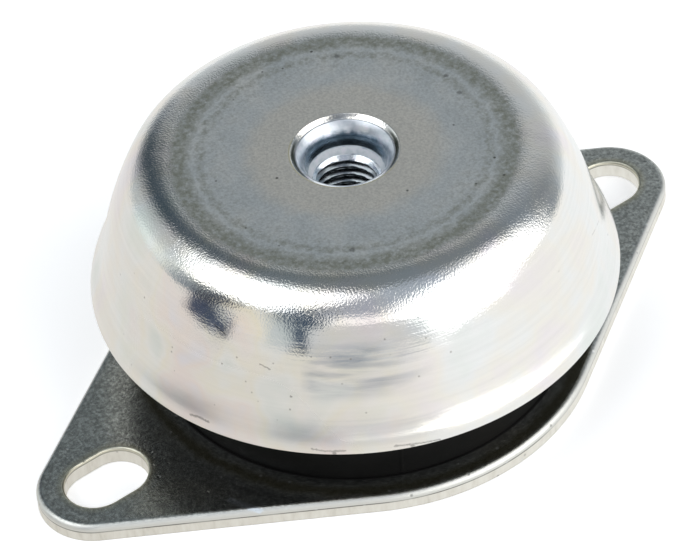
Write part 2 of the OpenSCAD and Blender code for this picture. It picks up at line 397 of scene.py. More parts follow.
# %% [markdown]
# ## The bell cap
# The cap is drawn from one disc of 2.6 mm steel sheet. From the rim up it has a short flared skirt,
# a reverse bend, a wall that leans inwards and a round shoulder, and on its flat top the hole for
# the insert is countersunk. It could be modelled as a subdivided box, but a drawn part is a body
# of revolution, so one closed half section is turned round the axis. That keeps the sheet equally
# thick everywhere. Its columns are close enough for a smooth outline at any distance.
# %% Bell cap profile
CAP_T = 2.6
SHOULDER_R = 8.7
WALL_SLOPE = 26.4
FOOT_SLOPE = 12.4
FLARE_R = 18.0
FLARE_SLOPE = 30.0
SKIRT_R = 8.0
RIM_SLOPE = 12.0
RIM_EDGE = 0.6
NECK_R = 8.0
COUNTERSINK_R = 9.4
COUNTERSINK_SLOPE = 50.0
CAP_HOLE_R = NECK_R + 0.05
EDGE_SOFT = 0.22


def unit(degrees):
    """Unit vector at an angle above the horizontal: (cos a, sin a)."""
    return np.array([np.cos(np.radians(degrees)), np.sin(np.radians(degrees))])


skirt_c = np.array([RIM_R, RIM_Z + RIM_EDGE]) - SKIRT_R * unit(RIM_SLOPE)
flare_c = skirt_c + (SKIRT_R + FLARE_R) * unit(FLARE_SLOPE)
wall_rise = TOP_Z - SHOULDER_R * (1 - unit(WALL_SLOPE)[1]) - flare_c[1] + FLARE_R * unit(FOOT_SLOPE)[1]
wall_r = wall_rise / (unit(WALL_SLOPE)[1] - unit(FOOT_SLOPE)[1])
wall_c = flare_c - (FLARE_R + wall_r) * unit(FOOT_SLOPE)
shoulder_c = wall_c + (wall_r - SHOULDER_R) * unit(WALL_SLOPE)
countersink_h = (COUNTERSINK_R - CAP_HOLE_R) / np.tan(np.radians(COUNTERSINK_SLOPE))


def cap_face(inset, steps, lowest):
    """The cap's outer face moved inwards: shoulder, wall, reverse bend and skirt arcs, end to end."""
    last = np.degrees(np.arcsin((lowest - skirt_c[1]) / (SKIRT_R - inset)))
    return chain(
        arc(shoulder_c, SHOULDER_R - inset, 90, WALL_SLOPE, 3 * steps),
        arc(wall_c, wall_r - inset, WALL_SLOPE, FOOT_SLOPE, 2 * steps),
        arc(flare_c, FLARE_R + inset, 180 + FOOT_SLOPE, 180 + FLARE_SLOPE, steps),
        arc(skirt_c, SKIRT_R - inset, FLARE_SLOPE, last, steps),
    )


outer = cap_face(0, 12, RIM_Z + RIM_EDGE)
inner = cap_face(CAP_T, 6, RIM_Z + RIM_EDGE)[::-1]
rim_outer_c = (RIM_R - RIM_EDGE, RIM_Z + RIM_EDGE)
rim_inner_c = (inner[0, 0] + RIM_EDGE, RIM_Z + RIM_EDGE)
cap_profile = chain(
    line((CAP_HOLE_R, TOP_Z - CAP_T), (CAP_HOLE_R, TOP_Z - countersink_h), 3),
    line((CAP_HOLE_R, TOP_Z - countersink_h), (COUNTERSINK_R - EDGE_SOFT, TOP_Z - EDGE_SOFT), 3),
    arc((COUNTERSINK_R + 0.3 * EDGE_SOFT, TOP_Z - EDGE_SOFT), EDGE_SOFT, 140, 90, 4),
    line((COUNTERSINK_R + 0.8, TOP_Z), (shoulder_c[0] - 0.6, TOP_Z), 24),
    outer,
    arc(rim_outer_c, RIM_EDGE, -6, -90, 5),
    arc(rim_inner_c, RIM_EDGE, 270, 190, 5),
    inner,
    line((shoulder_c[0] - 1, TOP_Z - CAP_T), (CAP_HOLE_R + 1, TOP_Z - CAP_T), 6),
)
print("cap profile:", len(cap_profile), "points")

# %% Bell cap surface
CAP_COLUMNS = 288

cap = piece_from_grids("cap_shell", [(revolve(cap_profile, full_turn(CAP_COLUMNS)), True, True)])

# %% [markdown]
# ## The threaded insert
# The insert is turned from bar: a trumpet mouth that is swaged out into the cap's countersink,
# an M12 thread right through, a collar under the cap, and a lower end riveted over the washer.
# A thread could be a screw modifier, but then its ends have to be closed by hand. Here the wall
# is the same grid as the rest of the section, and only its radius changes: the groove is
# a function of the height and the angle, so its helix falls out of one formula. A short cone
# joins the trumpet's throat to the chamfer above the first turn.
# %% Insert profile
LIP_DROP = 0.6
LIP_EDGE = 0.25
LIP_Z = TOP_Z - LIP_DROP
LIP_R = COUNTERSINK_R - LIP_DROP * np.tan(np.radians(COUNTERSINK_SLOPE)) - 0.08
MOUTH_H = 5.7
MOUTH_R = 5.95
THROAT_R, THROAT_Z = 6.6, 40.8
CREST_R = 5.1
ROOT_R = 6.02
PITCH = 1.75
COLLAR_R, COLLAR_H = 11.5, 3.0
BODY_R = 9.5
SPIGOT_R = 7.6
RIVET_H = 1.2

mouth_z = LIP_Z - MOUTH_H
mouth_run = LIP_R - LIP_EDGE - THROAT_R
trumpet_h = LIP_Z - THROAT_Z
trumpet_r = (mouth_run**2 + trumpet_h**2) / (2 * mouth_run)
trumpet_c = (THROAT_R + trumpet_r, THROAT_Z)
trumpet_end = 180 - np.degrees(np.arcsin(trumpet_h / trumpet_r))
insert_z = insert_low[2]
washer_z, washer_top = washer_low[2], washer_high[2]
collar_top = TOP_Z - CAP_T
chamfer = MOUTH_R - CREST_R
neck_z = TOP_Z - countersink_h - 0.05
THREAD_ROWS = 330

bore = line((CREST_R, insert_z + chamfer), (CREST_R, mouth_z - chamfer), THREAD_ROWS)
insert_profile = chain(
    line((MOUTH_R, insert_z), (CREST_R, insert_z + chamfer), 8),
    bore,
    line((CREST_R, mouth_z - chamfer), (MOUTH_R, mouth_z), 8),
    line((MOUTH_R, mouth_z), (MOUTH_R + 0.04, mouth_z + 0.12), 1),
    line((MOUTH_R + 0.04, mouth_z + 0.12), (THROAT_R, THROAT_Z), 6),
    arc(trumpet_c, trumpet_r, 180, trumpet_end, 40),
    arc((LIP_R - 0.12, LIP_Z - 0.12), 0.12, 90, 0, 3),
    line((NECK_R + 0.1, neck_z + 0.1), (NECK_R, neck_z - 0.1), 1),
    line((NECK_R, collar_top), (COLLAR_R - 0.2, collar_top), 2),
    arc((COLLAR_R - 0.2, collar_top - 0.2), 0.2, 90, 0, 2),
    line((COLLAR_R, collar_top - COLLAR_H), (BODY_R, collar_top - COLLAR_H - COLLAR_R + BODY_R), 2),
    line((BODY_R, washer_top + 0.8), (BODY_R - 0.8, washer_top), 1),
    line((SPIGOT_R, washer_top), (SPIGOT_R, washer_z + RIVET_H), 1),
    line((SPIGOT_R + RIVET_H - 0.05, insert_z), (MOUTH_R, insert_z), 2)[:-1],
)


# %% Insert surface with its thread
def groove(height, angle):
    """Depth share of a 60 degree thread: 0 on the crest, 1 at the root, straight flanks between.

    The phase is the height in pitches less the angle in turns; the crest is a quarter of a pitch
    wide and the root an eighth.
    """
    phase = (height / PITCH - angle / (2 * np.pi)) % 1.0
    from_root = np.abs(phase - 0.5)
    return np.clip((0.375 - from_root) / (0.375 - 0.0625), 0, 1)


angles = full_turn(160)
points = revolve(insert_profile, angles)
height = insert_profile[:, 1, None] + 0 * angles
radius = insert_profile[:, 0, None] + 0 * angles
inside = (radius < MOUTH_R + 1e-6) & (height > insert_z + 0.02) & (height < mouth_z - 0.01)
cut = np.where(inside, np.maximum(radius, CREST_R + (ROOT_R - CREST_R) * groove(height, angles)), radius)
points[..., 0] = cut * np.cos(angles)
points[..., 1] = cut * np.sin(angles)
insert = piece_from_grids("threaded_bush", [(points, True, True)], crease=50)
print("thread turns: %.1f" % ((mouth_z - insert_z) / PITCH))

# %% [markdown]
# ## The rebound washer
# Under the plate's dish a stamped washer holds the mount together when the machine is lifted.
# It is a short closed section with rounded outer edges, turned round the axis.
# %% Rebound washer
WASHER_R = washer_high[0]
WASHER_EDGE = 0.7
washer_hole = SPIGOT_R + 0.05
washer_profile = chain(
    line((washer_hole, washer_top), (washer_hole, washer_z + RIVET_H), 2),
    line((washer_hole, washer_z + RIVET_H), (washer_hole + RIVET_H, washer_z), 2),
    line((washer_hole + RIVET_H, washer_z), (WASHER_R - WASHER_EDGE, washer_z), 6),
    arc((WASHER_R - WASHER_EDGE, washer_z + WASHER_EDGE), WASHER_EDGE, -90, 0, 6),
    arc((WASHER_R - WASHER_EDGE, washer_top - WASHER_EDGE), WASHER_EDGE, 0, 90, 6),
    line((WASHER_R - WASHER_EDGE, washer_top), (washer_hole + 0.3, washer_top), 6),
)
washer = piece_from_grids("rebound_disc", [(revolve(washer_profile, full_turn(160)), True, True)])

# %% [markdown]
# ## The rubber
# The rubber is moulded between the plate and the cap in one press, so it takes their shapes where
# it touches them, and between them it has a waist. The mould opens along two lines, which leaves
# a thin seam up each side, and a little rubber creeps out over the plate as a film. The seams
# are a narrow ridge added to the radius, so extra columns are packed in where they stand.
# %% Rubber profile and surface
FOOT_R = 36.4
HOLLOW_R = 26.06
UPPER_R = COLLAR_R + 4.5
HOLLOW_H = 18.6
BOND = 0.30
FILM_W, FILM_H = 0.55, 0.12
SEAM_ANGLES = np.radians([243.6, 63.6])
SEAM_W, SEAM_H = 0.28, 0.16

hidden = cap_face(CAP_T + BOND, 5, RIM_Z + RIM_EDGE)
rubber_edge = hidden[-1]
flare_run = rubber_edge - (FOOT_R, PLATE_T)
flare_r = (flare_run @ flare_run) / (2 * flare_run[0])
flare_c = (FOOT_R + flare_r, PLATE_T)
flare_end = np.degrees(np.arctan2(flare_run[1], flare_run[0] - flare_r))
flare = arc(flare_c, flare_r, 180, flare_end, 28)
rubber_profile = chain(
    line((HOLLOW_R, PLATE_T), (FOOT_R + FILM_W, PLATE_T), 4),
    line((FOOT_R + FILM_W * 0.8, PLATE_T + FILM_H * 0.7), (FOOT_R + 0.1, PLATE_T + FILM_H), 2),
    flare[2:],
    hidden[::-1],
    line((UPPER_R, TOP_Z - CAP_T - BOND), (HOLLOW_R, PLATE_T + HOLLOW_H), 8),
    line((HOLLOW_R, PLATE_T + HOLLOW_H), (HOLLOW_R, PLATE_T), 8)[:-1],
)
seam_columns = (SEAM_ANGLES[:, None] + np.radians(np.linspace(-0.9, 0.9, 13))).ravel()
angles = np.unique(np.round(np.concatenate([full_turn(240), seam_columns]) % (2 * np.pi), 6))
points = revolve(rubber_profile, angles)
radius = rubber_profile[:, 0, None] + 0 * angles
height = rubber_profile[:, 1, None] + 0 * angles
turn = (angles[None, :, None] - SEAM_ANGLES + np.pi) % (2 * np.pi) - np.pi
ridge = np.exp(-((turn * radius[..., None] / SEAM_W) ** 2)).sum(-1) * SEAM_H
outside = (radius > FOOT_R) & (height < rubber_edge[1] - 0.4) & (height > PLATE_T + FILM_H)
radius = radius + np.where(outside, ridge, 0)
points[..., 0] = radius * np.cos(angles)
points[..., 1] = radius * np.sin(angles)
rubber = piece_from_grids("rubber_ring", [(points, True, True)])

# %% [markdown]
# ## The base plate
# The plate is blanked from 3.4 mm strip, pierced with two slots and drawn up into a dish. Blanking
# has a look of its own: the punch rolls the top edge over, and below it the metal is cut and
# torn into a matt land. The outline is two ears and a round waist with straight flanks that touch
# both. It could be an extrusion with a bevel, but the rolled edge and the torn land differ
# from a bevel, so a small edge profile is carried along the outline and along each slot.
# The flat faces between are ruled grids that share those edges' points, and all is welded.
# %% Base plate outline
WAIST_R = 41.5
EAR_X = 57.1
EAR_R = plate_high[0] - EAR_X
CUT_X = 44.0
ROLL = 1.1
ROLL_BAND = 0.3
SLOT_X = 55.0
SLOT_R = 5.5
SLOT_HALF = 2.1
SLOT_ROLL = 0.45

flank = np.arccos((WAIST_R - EAR_R) / EAR_X)
flank_normal = np.array([np.cos(flank), np.sin(flank)])
edge_inset = ROLL + ROLL_BAND
ear_end = np.array([EAR_X, 0]) + EAR_R * flank_normal
waist_end = WAIST_R * flank_normal
cut_share = (ear_end[0] - CUT_X - edge_inset * flank_normal[0]) / (ear_end[0] - waist_end[0])
cut_point = ear_end + cut_share * (waist_end - ear_end)
ear_arc = arc((EAR_X, 0), EAR_R, 0, np.degrees(flank), 30)
waist_arc = arc((0, 0), WAIST_R, np.degrees(flank), 90, 40)
ear_flank = line(ear_end, cut_point, 18)
waist_flank = line(cut_point, waist_end, 24)
quarter = np.vstack([ear_arc, ear_flank[1:], waist_flank[1:], waist_arc[1:]])
ear_count = len(ear_arc) + len(ear_flank) - 1
quarter_normal = np.vstack(
    [
        (ear_arc - (EAR_X, 0)) / EAR_R,
        np.tile(flank_normal, (len(ear_flank) + len(waist_flank) - 2, 1)),
        waist_arc[1:] / WAIST_R,
    ]
)
FLIP_X, FLIP_Y = np.array([-1, 1]), np.array([1, -1])


def four_quarters(part):
    """Mirrors the first quarter of the outline into a closed loop, anticlockwise."""
    upper = np.vstack([part, (part * FLIP_X)[::-1][1:]])
    return np.vstack([upper, (upper * FLIP_Y)[::-1][1:-1]])


outline, outline_normal = four_quarters(quarter), four_quarters(quarter_normal)
print("outline points:", len(outline))


# %% Base plate patches
def carried(points, normals, profile):
    """Carries an edge profile along a loop: the point (d, z) lies d inwards along the normal, at height z."""
    inward, z = profile[:, 0, None, None], profile[:, 1, None, None]
    flat = points[None] - inward * normals[None]
    return np.concatenate([flat, np.broadcast_to(z, flat.shape[:2] + (1,))], axis=-1)


def ruled(inner_loop, outer_loop, rows, z):
    """Straight rows between matching points of two loops: (1 - v) * inner + v * outer, at height z."""
    v = np.linspace(0, 1, rows + 1)[:, None, None]
    flat = (1 - v) * inner_loop + v * outer_loop
    return np.concatenate([flat, np.full(flat.shape[:2] + (1,), float(z))], axis=-1)


def stadium(directions, radius):
    """Where rays from a slot's centre meet a stadium: its flat side, or the round end beyond it."""
    c, s = directions[:, 0], directions[:, 1]
    reach_flat = radius / np.maximum(np.abs(s), 1e-9)
    on_flat = reach_flat * np.abs(c) <= SLOT_HALF
    reach_round = SLOT_HALF * np.abs(c) + np.sqrt(radius**2 - (SLOT_HALF * s) ** 2)
    points = directions * np.where(on_flat, reach_flat, reach_round)[:, None]
    ends = np.column_stack([np.sign(c) * SLOT_HALF, 0 * c])
    flat_normal = np.column_stack([0 * s, np.sign(s)])
    normals = np.where(on_flat[:, None], flat_normal, (points - ends) / radius)
    return points, normals


def edge_zones(profile, roll_depth, fade):
    """1 on the torn land below the roll, and 1 on the roll, which fades in from the flat top."""
    z = profile[:, 1]
    torn_land = ((z < PLATE_T - roll_depth) & (z > 0.05)).astype(float)
    return torn_land, np.clip((PLATE_T - z) / fade, 0, 1) * (1 - torn_land) * (z > 0.2)


# %% Base plate edge profiles
edge_profile = chain(
    line((edge_inset, PLATE_T), (ROLL, PLATE_T), 1),
    arc((ROLL, PLATE_T - ROLL), ROLL, 90, 0, 9) * (-1, 1) + (2 * ROLL, 0),
    line((0, PLATE_T - ROLL), (0.05, PLATE_T - ROLL - 0.40), 1),
    line((0.05, PLATE_T - ROLL - 0.40), (0.0, 0.12), 6),
    line((0.0, 0.12), (0.12, 0.0), 1),
    line((0.12, 0.0), (edge_inset, 0.0), 2),
)
edge_torn, edge_roll = edge_zones(edge_profile, ROLL + 0.1, 0.25)
slot_inset = SLOT_ROLL + ROLL_BAND
slot_profile = chain(
    line((slot_inset, PLATE_T), (SLOT_ROLL, PLATE_T), 1),
    arc((SLOT_ROLL, PLATE_T - SLOT_ROLL), SLOT_ROLL, 90, 0, 6) * (-1, 1) + (2 * SLOT_ROLL, 0),
    line((0, PLATE_T - SLOT_ROLL), (0.0, 0.1), 8),
    line((0.0, 0.1), (0.1, 0.0), 1),
    line((0.1, 0.0), (slot_inset, 0.0), 2),
)
slot_torn, slot_roll = edge_zones(slot_profile, SLOT_ROLL + 0.05, 0.15)
print("edge profile:", len(edge_profile), "points; slot profile:", len(slot_profile), "points")

# %% [markdown]
# The dish is drawn from the same strip, one sheet thick, so both its faces are made from the same
# two bend centres. Its last ring on each face lies on the circle where the flat plate begins.
# %% Base plate dish profile
DISH_SLOPE = 10.0
DISH_BEND = 2.0
DISH_EDGE = 0.8
DISH_TOP = plate_high[2]
DISH_IN = DISH_TOP - PLATE_T
DISH_HOLE = COLLAR_R + 0.5

dish_angle = np.radians(DISH_SLOPE)
dish_normal = np.array([np.cos(dish_angle), np.sin(dish_angle)])
dish_top_c = np.array([WASHER_R, DISH_IN - DISH_BEND])
foot_cz = PLATE_T + DISH_BEND
dish_foot = (dish_normal @ dish_top_c + 2 * DISH_BEND + PLATE_T - dish_normal[1] * foot_cz) / dish_normal[0]
dish_foot_c = np.array([dish_foot, foot_cz])
dish_profile = chain(
    arc(dish_foot_c, DISH_BEND, 270, 180 + DISH_SLOPE, 10),
    arc(dish_top_c, DISH_BEND + PLATE_T, DISH_SLOPE, 90, 14),
    line((WASHER_R - 0.5, DISH_TOP), (DISH_HOLE + DISH_EDGE + 0.3, DISH_TOP), 3),
    arc((DISH_HOLE + DISH_EDGE, DISH_TOP - DISH_EDGE), DISH_EDGE, 90, 180, 6),
    line((DISH_HOLE, DISH_TOP - DISH_EDGE), (DISH_HOLE, DISH_IN), 4),
    line((DISH_HOLE, DISH_IN), (WASHER_R, DISH_IN), 4),
    arc(dish_top_c, DISH_BEND, 90, DISH_SLOPE, 8),
    arc(dish_foot_c, DISH_BEND + PLATE_T, 180 + DISH_SLOPE, 270, 14),
)

# %% Base plate surface
inset_loop = outline - edge_inset * outline_normal
upper = inset_loop[: 2 * len(quarter) - 1]
right_upper = upper[ear_count - 1]
cut_line = line(right_upper, right_upper * FLIP_Y, 26)
waist_top = upper[ear_count - 1 : len(upper) - ear_count + 1]
left_line = (cut_line * FLIP_X)[1:-1]
waist_bottom = (waist_top * FLIP_Y)[::-1]
right_line = cut_line[::-1][1:-1]
waist_loop = np.vstack([waist_top, left_line, waist_bottom, right_line])
waist_angles = np.arctan2(waist_loop[:, 1], waist_loop[:, 0])
dish_ring = dish_foot * np.column_stack([np.cos(waist_angles), np.sin(waist_angles)])
ear_half = inset_loop[:ear_count]
ear_loop = np.vstack([(ear_half * FLIP_Y)[::-1][:-1], ear_half, cut_line[1:-1]])
aim = ear_loop - (SLOT_X, 0)
aim = aim / np.linalg.norm(aim, axis=1)[:, None]
slot_ring, slot_normal = stadium(aim, SLOT_R + slot_inset)
slot_wall = slot_ring - slot_inset * slot_normal

grids = [
    (
        carried(outline, outline_normal, edge_profile),
        False,
        True,
        {"torn": edge_torn[:, None], "rolled": edge_roll[:, None]},
    ),
    (revolve(dish_profile, waist_angles), False, True),
]
for z in (PLATE_T, 0.0):
    grids.append((ruled(dish_ring, waist_loop, 8, z), False, True))
for flip in (np.array([1, 1]), FLIP_X):
    centre = np.array([SLOT_X, 0])
    wall = carried((centre + slot_wall) * flip, slot_normal * flip, slot_profile * (-1, 1))
    values = {"torn": slot_torn[:, None], "rolled": slot_roll[:, None]}
    grids.append((wall, False, True, values))
    for z in (PLATE_T, 0.0):
        grids.append((ruled((centre + slot_ring) * flip, ear_loop * flip, 5, z), False, True))
plate = piece_from_grids("slotted_plate", grids, crease=50)

# %% [markdown]
# ## Marks on a surface
# A used part has marks at places that can be pointed at: a scratch, a pit, a scuff on the rim.
# They could be painted on an image, but a shader can also work them out: it takes the distance
# from each point of the surface to the mark, and whatever is near enough belongs to it. A noise
# that shifts the point first makes the mark's edge ragged, as a real one is.
# %% Helpers for marks
def shifted(tree, place, grain_mm, reach_mm):
    """The place moved by a noise: place + (noise - 0.5) * reach, with cells of the given grain."""
    wander = add(tree, "TexNoise", {"Vector": place, "Scale": 1000 / grain_mm, "Detail": 3.0})
    centred = add(
        tree, "VectorMath", {0: wander.outputs["Color"], 1: (0.5, 0.5, 0.5)}, operation="SUBTRACT"
    )
    reach = add(tree, "VectorMath", {0: centred, "Scale": reach_mm * MM}, operation="SCALE")
    return add(tree, "VectorMath", {0: place, 1: reach}, operation="ADD")


def stroke_distance(tree, place, path_mm):
    """Distance to the nearest of the straight strokes from a to b: |p - a - t (b - a)|, t kept in 0..1.

    A path of one place is a spot, and its distance is |p - a|.
    """
    path = np.array(path_mm) * MM
    if len(path) == 1:
        spot = {0: place, 1: path[0].tolist()}
        return add(tree, "VectorMath", spot, operation="DISTANCE").outputs["Value"]
    nearest = None
    for start, end in zip(path[:-1], path[1:]):
        run = end - start
        unit_run = run / (run @ run)
        offset = add(tree, "VectorMath", {0: place, 1: start.tolist()}, operation="SUBTRACT")
        along = add(tree, "VectorMath", {0: offset, 1: unit_run.tolist()}, operation="DOT_PRODUCT")
        held = add(tree, "Math", {0: along, 1: 0.0}, operation="ADD", use_clamp=True)
        foot = add(tree, "VectorMath", {0: run.tolist(), "Scale": held}, operation="SCALE")
        gap = add(tree, "VectorMath", {0: offset, 1: foot}, operation="DISTANCE")
        if nearest is None:
            nearest = gap
        else:
            nearest = add(tree, "Math", {0: nearest, 1: gap}, operation="MINIMUM")
    return nearest


# %% Helpers for distances and dots
def off_by(tree, value, target):
    """How far a value is from a target, whatever the direction: |value - target|."""
    off = add(tree, "Math", {0: value, 1: target}, operation="SUBTRACT")
    return add(tree, "Math", {0: off}, operation="ABSOLUTE")


def from_axis(tree, place):
    """Distance of a place from the Z axis: the length of (x, y, 0)."""
    flat = add(tree, "VectorMath", {0: place, 1: (1, 1, 0)}, operation="MULTIPLY")
    return add(tree, "VectorMath", {0: flat}, operation="LENGTH").outputs["Value"]


def dots(tree, place, scale, channel, rarity, edge, core, darkest=1.0):
    """Dots in those cells of a cell pattern whose random value in the channel is over the rarity.

    A dot is full within the core's distance from its cell's middle and gone beyond the edge's.
    The random values of the cells are handed back as well.
    """
    cells = add(tree, "TexVoronoi", {"Vector": place, "Scale": scale})
    chosen = add(tree, "SeparateXYZ", {0: cells.outputs["Color"]})
    rare = add(tree, "Math", {0: chosen.outputs[channel], 1: rarity}, operation="GREATER_THAN")
    limits = {"From Min": edge, "From Max": core, "To Max": darkest}
    spot = add(tree, "MapRange", {"Value": cells.outputs["Distance"], **limits})
    return add(tree, "Math", {0: rare, 1: spot}, operation="MULTIPLY"), chosen


def within(tree, distance, full_mm, none_mm):
    """1 where the distance is at most full, 0 from none on, and a smooth step between the two."""
    limits = {"From Min": none_mm * MM, "From Max": full_mm * MM}
    return add(tree, "MapRange", {"Value": distance, **limits}, interpolation_type="SMOOTHSTEP")


# %% [markdown]
# ## Bright zinc on the drawn cap
# The cap is mild steel, barrel-plated with zinc and passivated clear. Zinc is a white metal with
# a slightly blue cast, and the passivation adds faint yellow, pink and lilac films. Drawing leaves
# the wall bright, with a fine grain that breaks up the edge of each reflection, and the flat top
# keeps the matt face of the sheet. Rings of stain on the top show where another part has stood,
# and a warmer disc round the insert shows where its washer lay. Radius and height, worked out
# from the object's own coordinates, tell these zones apart.
# %% Cap zones
cap_zinc, tree = new_material("bright zinc plating on drawn steel")
place = add(tree, "TexCoord").outputs["Object"]
radius = from_axis(tree, place)
height = add(tree, "SeparateXYZ", {0: place}).outputs["Z"]
ragged = from_axis(tree, shifted(tree, place, 2.2, 2.6))
speckled = from_axis(tree, shifted(tree, place, 0.6, 2.4))
top_zone = within(tree, speckled, 29.0, 30.6)
on_top = add(tree, "MapRange", {"Value": height, "From Min": 0.0445, "From Max": 0.0453})
outside_hole = add(tree, "MapRange", {"Value": radius, "From Min": 0.00936, "From Max": 0.00948})
top_mask = add(tree, "Math", {0: top_zone, 1: on_top}, operation="MULTIPLY")
top_mask = add(tree, "Math", {0: top_mask, 1: outside_hole}, operation="MULTIPLY")

# %% Cap colours on the flat top
# Sheet that was pickled before plating is cloudy at a few millimetres and speckled at half a millimetre
clouds = add(tree, "TexNoise", {"Vector": place, "Scale": 130.0, "Detail": 4.0})
top_colour = add(
    tree, "ValToRGB", {"Fac": clouds}, stops=[(0.30, "#C9CECF"), (0.50, "#D2D6D6"), (0.70, "#DBDCD9")]
)
warm_disc = within(tree, ragged, 14.5, 19.0)
warm = add(tree, "Math", {0: warm_disc, 1: 0.75}, operation="MULTIPLY")
top_colour = add(tree, "Mix", {"Factor": warm, "A": top_colour, "B": "#E0DBD1"}, data_type="RGBA")
blotches = add(tree, "TexNoise", {"Vector": place, "Scale": 900.0, "Detail": 5.0, "Roughness": 0.7})
stain_rings = (
    # centre radius, half width and blur in mm, lowest noise that stains, darkest share
    (28.5, 0.7, 1.9, 0.40, 1.0),
    (24.7, 0.2, 1.0, 0.50, 0.80),
    (26.5, 0.1, 0.6, 0.54, 0.50),
    (22.5, 0.4, 3.0, 0.62, 0.60),
)
for ring_r, half, blur, lowest, darkest in stain_rings:
    apart = off_by(tree, ragged, ring_r * MM)
    band = within(tree, apart, half, half + blur)
    patchy = add(
        tree,
        "MapRange",
        {"Value": blotches, "From Min": lowest - 0.14, "From Max": lowest + 0.18, "To Max": darkest},
    )
    stain = add(tree, "Math", {0: band, 1: patchy}, operation="MULTIPLY")
    top_colour = add(tree, "Mix", {"Factor": stain, "A": top_colour, "B": "#A0A297"}, data_type="RGBA")
# Fine speckle of the pickled sheet, drawn at 0.5 mm
dust = add(tree, "TexNoise", {"Vector": place, "Scale": 2000.0, "Detail": 3.0})
dust_shade = add(
    tree, "MapRange", {"Value": dust, "From Min": 0.36, "From Max": 0.66, "To Min": 1.12, "To Max": 0.93}
)
top_colour = add(
    tree, "Mix", {"Factor": 1.0, "A": top_colour, "B": dust_shade}, data_type="RGBA", blend_type="MULTIPLY"
)
# Pinholes of the plating: one cell in twenty of a 1.6 mm cell pattern carries a dark dot
pinholes = dots(tree, place, 620.0, "X", 0.95, 0.20, 0.10)[0]
pinholes = add(tree, "Math", {0: pinholes, 1: top_mask}, operation="MULTIPLY")
top_colour = add(tree, "Mix", {"Factor": pinholes, "A": top_colour, "B": "#6A6C66"}, data_type="RGBA")

# %% Cap colours on the wall
films = add(tree, "TexNoise", {"Vector": place, "Scale": 70.0, "Detail": 3.0})
wall_colour = add(
    tree,
    "ValToRGB",
    {"Fac": films},
    stops=[
        (0.28, "#E9EEEA"),
        (0.42, "#F1F2F1"),
        (0.52, "#F3F0E9"),
        (0.62, "#F1ECEC"),
        (0.76, "#EAEAF1"),
    ],
)
# Hands and packing have marked the front left: cream, pink, lilac and greenish films with cloudy edges
handled_off = add(tree, "VectorMath", {0: place, 1: (-0.036, -0.018, 0.027)}, operation="DISTANCE")
handled = within(tree, handled_off, 14, 40)
blots = add(
    tree, "TexNoise", {"Vector": place, "Scale": 105.0, "Detail": 2.0, "Roughness": 0.45, "Distortion": 0.2}
)
film_colour = add(
    tree,
    "ValToRGB",
    {"Fac": blots},
    stops=[
        (0.30, "#DCE2DD"),
        (0.42, "#EEEDE8"),
        (0.50, "#EFE9D9"),
        (0.57, "#F0E9E2"),
        (0.64, "#F0E3DC"),
        (0.74, "#E8E4EA"),
    ],
)
handled_share = add(tree, "Math", {0: handled, 1: 0.65}, operation="MULTIPLY")
wall_colour = add(
    tree, "Mix", {"Factor": handled_share, "A": wall_colour, "B": film_colour}, data_type="RGBA"
)
# The punch draws the sheet down, so its lines run round the wall: the noise is 40 times longer than high
drawn = add(tree, "VectorMath", {0: place, 1: (35, 35, 1400)}, operation="MULTIPLY")
draw_lines = add(tree, "TexNoise", {"Vector": drawn, "Scale": 1.0, "Detail": 3.0})
line_shade = add(
    tree,
    "MapRange",
    {"Value": draw_lines, "From Min": 0.35, "From Max": 0.65, "To Min": 0.965, "To Max": 1.0},
)
wall_colour = add(
    tree, "Mix", {"Factor": 1.0, "A": wall_colour, "B": line_shade}, data_type="RGBA", blend_type="MULTIPLY"
)

# %% Painted reflection and specks on the wall
# On the front a painted reflection is streaky and grey; it starts at a sharp upright edge and fades out
around = add(tree, "VectorMath", {0: place, 1: (1, 1, 0)}, operation="MULTIPLY")
around = add(tree, "VectorMath", {0: around}, operation="NORMALIZE")
past_edge = add(
    tree, "VectorMath", {0: around, 1: (0.669, -0.743, 0)}, operation="DOT_PRODUCT"
).outputs["Value"]
begun = add(tree, "MapRange", {"Value": past_edge, "From Min": -0.02, "From Max": 0.03})
faded = add(tree, "MapRange", {"Value": past_edge, "From Min": 0.50, "From Max": 0.30})
WIPED_Z = 34.0
off_middle = off_by(tree, height, WIPED_Z * MM)
swept = add(tree, "VectorMath", {0: place, 1: (70, 70, 480)}, operation="MULTIPLY")
wipes = add(tree, "TexNoise", {"Vector": swept, "Scale": 1.0, "Detail": 3.0, "Distortion": 0.3})
streak = add(
    tree, "MapRange", {"Value": wipes, "From Min": 0.62, "From Max": 0.36, "To Min": 0.05, "To Max": 0.85}
)
wiped = add(tree, "Math", {0: begun, 1: faded}, operation="MULTIPLY")
wiped = add(tree, "Math", {0: wiped, 1: within(tree, off_middle, 1.5, 6.5)}, operation="MULTIPLY")
wiped = add(tree, "Math", {0: wiped, 1: streak}, operation="MULTIPLY")
# The painted reflection lays a grey-blue colour over the wall
wall_colour = add(tree, "Mix", {"Factor": wiped, "A": wall_colour, "B": "#A7ADB6"}, data_type="RGBA")
rarity = add(tree, "MapRange", {"Value": handled, "To Min": 0.985, "To Max": 0.93})
speck_mask = dots(tree, place, 900.0, "Y", rarity, 0.22, 0.06, darkest=0.7)[0]
wall_colour = add(tree, "Mix", {"Factor": speck_mask, "A": wall_colour, "B": "#8F8C86"}, data_type="RGBA")

